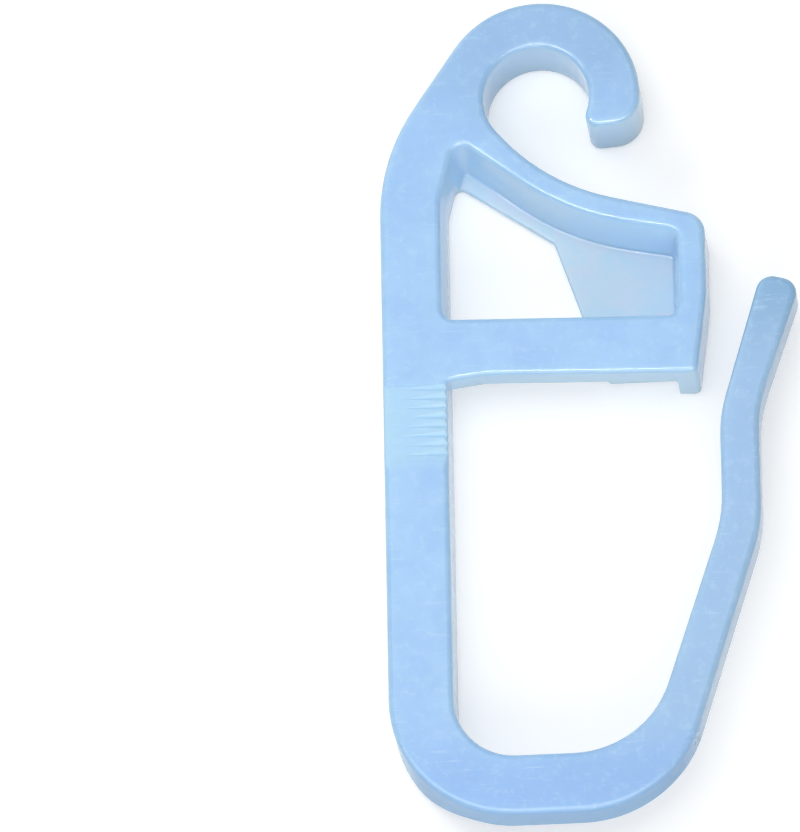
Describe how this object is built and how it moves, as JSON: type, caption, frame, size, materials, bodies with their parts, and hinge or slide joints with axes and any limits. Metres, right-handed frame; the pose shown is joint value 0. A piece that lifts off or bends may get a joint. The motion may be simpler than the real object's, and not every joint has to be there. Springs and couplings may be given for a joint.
{
  "type": "curtain glider hook",
  "caption": "Flat plastic curtain hook in one moulding: curled eye for a rail carrier, straight stem, braced arm with a recess, and a springy looped prong for header tape.",
  "frame": {"origin": "centre of the curled eye, half way through the full thickness; the part lies on its flat back", "axes": "+Y from the foot loop up the stem to the eye, +X across from the stem towards the prong, +Z out of the recessed face"},
  "size_m": [0.0219, 0.045, 0.0038],
  "materials": {
    "moulded_plastic": "satin, slightly milky pale blue"
  },
  "bodies": {
    "root": {"glider_hook": "moulded_plastic"}
  },
  "joints": []
}
